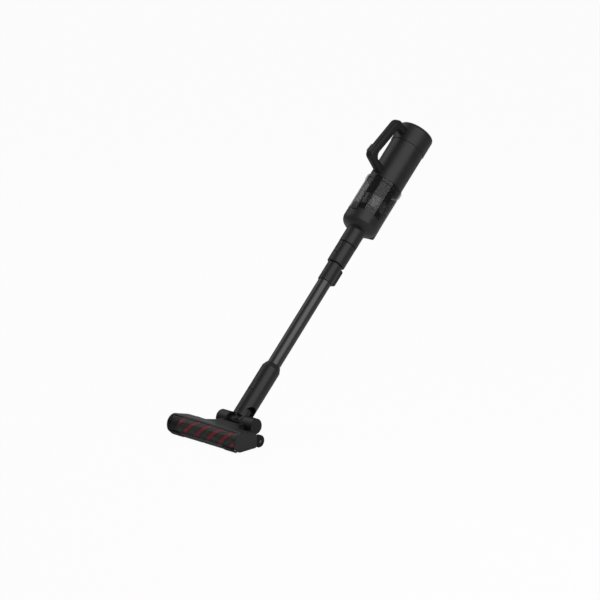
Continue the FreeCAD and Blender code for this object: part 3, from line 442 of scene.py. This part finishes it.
def nap_finish(name):
    """Short pile in dark green-grey, with a reddish ground under the bristle rows."""
    material, tree, shader = new_material(name, (0.03, 0.035, 0.03), 0.95, specular=0.1)
    shader.inputs["Sheen Weight"].default_value = 0.4
    coordinates = add(tree, "ShaderNodeTexCoord")
    mapping = add(tree, "ShaderNodeMapping")
    mapping.inputs["Scale"].default_value = (stripe_starts, stripe_starts * stripe_turns, 1)
    tree.links.new(coordinates.outputs["UV"], mapping.inputs["Vector"])
    parts = add(tree, "ShaderNodeSeparateXYZ")
    tree.links.new(mapping.outputs["Vector"], parts.inputs["Vector"])
    slant = add(tree, "ShaderNodeMath", operation="ADD")
    tree.links.new(parts.outputs["X"], slant.inputs[0])
    tree.links.new(parts.outputs["Y"], slant.inputs[1])
    phase = add(tree, "ShaderNodeMath", operation="FRACT")
    tree.links.new(slant.outputs["Value"], phase.inputs[0])
    green, dark, red = (0.030, 0.045, 0.032), (0.012, 0.012, 0.013), (0.44, 0.028, 0.040)
    tone = ramp(tree, phase.outputs["Value"], [(0.0, red), (0.14, red), (0.18, dark), (0.40, green),
                                               (0.62, green), (0.82, dark), (0.86, red)])
    tree.links.new(tone, shader.inputs["Base Color"])
    fibres = noise(tree, object_coordinates(tree), 1400.0, detail=4.0)
    bump(tree, shader, fibres, 0.0008)
    return material


nap_fabric = nap_finish("nap_fabric")

# %% Turn the nap drum
lay_across = Matrix.Translation(Vector((0, roller_axis.y, roller_axis.z))) @ Matrix.Rotation(
    pi / 2, 4, "Y")
nap_radius = (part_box("brush_nap")[1].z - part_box("brush_nap")[0].z) / 2
core_radius = 16 * mm
drum = spun([(core_radius, nap_low), (nap_radius - 1.2 * mm, nap_low),
             (nap_radius - 1.0 * mm, nap_low + 2 * mm), (nap_radius - 1.0 * mm, nap_high - 2 * mm),
             (nap_radius - 1.2 * mm, nap_high), (core_radius, nap_high)], steps=72)
cuts = [edge for edge in drum.edges
        if abs(edge.verts[0].co.z - edge.verts[1].co.z) > nap_length / 2]
bmesh.ops.subdivide_edges(drum, edges=cuts, cuts=60, use_grid_fill=True)
uv_by_angle(drum, nap_low, nap_high)
nap = make_piece("nap_drum", drum, nap_fabric, "roller", lay_across)
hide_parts("brush_nap")

# %% [markdown]
# The tufts follow the helix that the nap's stripe draws.  Each one starts as a small
# cone, is laid on the drum's surface, and is turned round the axis to its place.

# %% Plant the bristle rows
def bristle_finish(name):
    material, tree, shader = new_material(name, (0.55, 0.035, 0.045), 0.55, specular=0.35)
    shade = noise(tree, object_coordinates(tree), 300.0)
    tree.links.new(ramp(tree, shade, [(0.3, (0.36, 0.018, 0.026)), (0.7, (0.62, 0.04, 0.055))]),
                   shader.inputs["Base Color"])
    return material


red_bristle = bristle_finish("red_bristle")
tufts = bmesh.new()
tuft_height = 1.5 * mm
steps_along = 130
for start in range(stripe_starts):
    for step in range(steps_along):
        share = (step + 0.5) / steps_along
        for row in (-0.11, -0.055, 0.0, 0.055, 0.11):
            turn = 2 * pi * ((start + row) / stripe_starts - share * stripe_turns)
            seat = Matrix.Translation((0, 0, nap_low + share * nap_length))
            lean_out = Matrix.Rotation(turn, 4, "Z") @ Matrix.Translation(
                (nap_radius - 0.9 * mm, 0, 0)) @ Matrix.Rotation(pi / 2, 4, "Y")
            bmesh.ops.create_cone(tufts, cap_ends=True, segments=6, radius1=0.9 * mm,
                                  radius2=0.45 * mm, depth=tuft_height, matrix=seat @ lean_out)
rows = make_piece("bristle_rows", tufts, red_bristle, "roller", lay_across)
print("planted", stripe_starts * steps_along * 5, "tufts")

# %% [markdown]
# ## Grip ribs on the handle button
#
# The button at the loop's outer corner has cross ribs so that a thumb finds it.  Each
# rib is a small rounded bar laid across the button's face.

# %% Ribs
press = joints["trigger_press"]
inward = Vector(press["axis"]).normalized()
down_bar = right.cross(inward)
low_corner, high_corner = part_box("handle_button")
button_middle = (low_corner + high_corner) / 2
button_face = Matrix((right, down_bar, -inward)).transposed().to_4x4()
ribs = bmesh.new()
for i in range(7):
    bar = Matrix.Translation((0, (i - 3) * 3.1 * mm, 3.05 * mm)) @ Matrix.Diagonal(
        (11.5 * mm, 1.3 * mm, 1.0 * mm, 1))
    bmesh.ops.create_cube(ribs, size=1.0, matrix=bar)
bmesh.ops.bevel(ribs, geom=ribs.edges[:], offset=0.35 * mm, segments=2, affect="EDGES",
                profile=0.5, material=-1)
make_piece("button_ribs", ribs, lip_grey, "handle_trigger",
           Matrix.Translation(button_middle) @ button_face)

# %% [markdown]
# ## Floor, light and camera
#
# The background is white paper.  The floor is white too and keeps the machine's own
# shadow, and the sky is white where the camera or a clear wall looks at it, and dim in a mirror.
# A tall soft lamp on the right draws the long bright line down the tube and the cup,
# as a strip light does in a studio.

# %% Floor
floor_mesh = bmesh.new()
bmesh.ops.create_circle(floor_mesh, cap_ends=True, segments=64, radius=30.0)
floor_data = bpy.data.meshes.new("floor")
floor_mesh.to_mesh(floor_data)
floor_mesh.free()
floor = bpy.data.objects.new("floor", floor_data)
bpy.context.scene.collection.objects.link(floor)
paper, paper_tree, paper_shader = new_material("white_paper", (0.9, 0.9, 0.9), 0.9, specular=0.0)
glow = add(paper_tree, "ShaderNodeEmission", Strength=1.0)
path = add(paper_tree, "ShaderNodeLightPath")
seen = add(paper_tree, "ShaderNodeMath", operation="MAXIMUM")
share = add(paper_tree, "ShaderNodeMath", operation="MULTIPLY")
share.inputs[1].default_value = 0.96
blend = add(paper_tree, "ShaderNodeMixShader")
paper_tree.links.new(path.outputs["Is Camera Ray"], seen.inputs[0])
paper_tree.links.new(path.outputs["Is Transmission Ray"], seen.inputs[1])
paper_tree.links.new(seen.outputs["Value"], share.inputs[0])
paper_tree.links.new(share.outputs["Value"], blend.inputs["Fac"])
paper_tree.links.new(paper_shader.outputs["BSDF"], blend.inputs[1])
paper_tree.links.new(glow.outputs["Emission"], blend.inputs[2])
paper_tree.links.new(blend.outputs["Shader"], paper_tree.nodes["Material Output"].inputs["Surface"])
floor_data.materials.append(paper)

# %% Sky
sky = bpy.data.worlds.new("studio")
bpy.context.scene.world = sky
sky.use_nodes = True
sky_tree = sky.node_tree
dim = sky_tree.nodes["Background"]
dim.inputs["Color"].default_value = (1, 1, 1, 1)
dim.inputs["Strength"].default_value = 0.20
bright = add(sky_tree, "ShaderNodeBackground", Strength=1.0)
bright.inputs["Color"].default_value = (1, 1, 1, 1)
rays = add(sky_tree, "ShaderNodeLightPath")
either = add(sky_tree, "ShaderNodeMath", operation="MAXIMUM")
choose = add(sky_tree, "ShaderNodeMixShader")
sky_tree.links.new(rays.outputs["Is Camera Ray"], either.inputs[0])
sky_tree.links.new(rays.outputs["Is Transmission Ray"], either.inputs[1])
sky_tree.links.new(either.outputs["Value"], choose.inputs["Fac"])
sky_tree.links.new(dim.outputs["Background"], choose.inputs[1])
sky_tree.links.new(bright.outputs["Background"], choose.inputs[2])
sky_tree.links.new(choose.outputs["Shader"], sky_tree.nodes["World Output"].inputs["Surface"])


# %% Lamps
def soft_box(name, direction, distance, width, height, glow):
    """A rectangle of even light, its height laid along the stick; glow is its brightness."""
    data = bpy.data.lights.new(name, "AREA")
    data.shape = "RECTANGLE"
    data.size, data.size_y = width, height
    data.energy = glow * pi * width * height
    lamp = bpy.data.objects.new(name, data)
    bpy.context.scene.collection.objects.link(lamp)
    away = Vector(direction).normalized()
    across = along.cross(away).normalized()
    turn = Matrix((across, away.cross(across), away)).transposed()
    lamp.matrix_world = Matrix.Translation(middle + away * distance) @ turn.to_4x4()
    return lamp


low_box, high_box = frame_box
middle = (Vector(low_box) + Vector(high_box)) / 2
soft_box("key_box", (0.74, -0.20, 0.64), 2.4, 3.0, 2.2, 1.5)
soft_box("left_box", (-0.78, -0.14, 0.60), 2.4, 1.5, 2.2, 0.8)
soft_box("back_box", (-0.35, 0.85, 0.40), 2.6, 1.6, 1.6, 0.7)

# %% [markdown]
# The camera looks down gently from the front right with a long lens, so the machine's
# parallel edges stay parallel.  It aims at a point up and to the right of the pivot,
# which puts the leaning machine across the middle of the picture.

# %% Camera
azimuth, elevation = radians(44.5), radians(15.0)
back = Vector((sin(azimuth) * cos(elevation), -cos(azimuth) * cos(elevation), sin(elevation)))
view_right = Vector((cos(azimuth), sin(azimuth), 0))
view_up = back.cross(view_right)
target = pivot + view_right * 0.1648 + view_up * 0.327
camera_data = bpy.data.cameras.new("camera")
camera_data.lens = 200.0
camera_data.sensor_width = 36.0
camera_data.clip_end = 100.0
camera = bpy.data.objects.new("camera", camera_data)
bpy.context.scene.collection.objects.link(camera)
camera.location = target + back * 8.96
camera.rotation_euler = Matrix((view_right, view_up, back)).transposed().to_euler()
bpy.context.scene.camera = camera
bpy.context.scene.view_settings.view_transform = "Standard"
